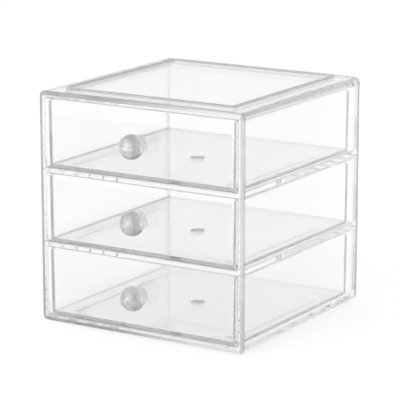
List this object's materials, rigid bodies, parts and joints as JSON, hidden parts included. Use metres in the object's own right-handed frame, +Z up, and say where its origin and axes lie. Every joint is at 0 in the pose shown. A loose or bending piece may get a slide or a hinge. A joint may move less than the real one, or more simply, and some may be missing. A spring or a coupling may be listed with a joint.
{
  "type": "stackable cosmetics organizer with drawers",
  "caption": "Clear plastic cube organizer with stacked pull-out drawers, each with a clear ball knob, a stacking rim on top and corner locating lugs underneath.",
  "frame": {"origin": "centre of the whole footprint, on the surface the organizer stands on", "axes": "+Z up, drawers open towards -Y, +X to the right seen from the front"},
  "size_m": [0.17, 0.1862, 0.1737],
  "materials": {
    "clear_case": "clear, polished mould finish",
    "clear_drawer": "clear, polished mould finish",
    "clear_knob": "clear, polished"
  },
  "bodies": {
    "case": {"case_shell": "clear_case"},
    "bottom_drawer_unit": {"bottom_drawer": "clear_drawer", "bottom_knob": "clear_knob"},
    "middle_drawer_unit": {"middle_drawer": "clear_drawer", "middle_knob": "clear_knob"},
    "top_drawer_unit": {"top_drawer": "clear_drawer", "top_knob": "clear_knob"}
  },
  "joints": [
    {"name": "bottom_drawer_slide", "type": "slide", "parent": "case", "child": "bottom_drawer_unit", "axis": [0, -1, 0], "range_m": [0, 0.13]},
    {"name": "middle_drawer_slide", "type": "slide", "parent": "case", "child": "middle_drawer_unit", "axis": [0, -1, 0], "range_m": [0, 0.13]},
    {"name": "top_drawer_slide", "type": "slide", "parent": "case", "child": "top_drawer_unit", "axis": [0, -1, 0], "range_m": [0, 0.13]}
  ]
}
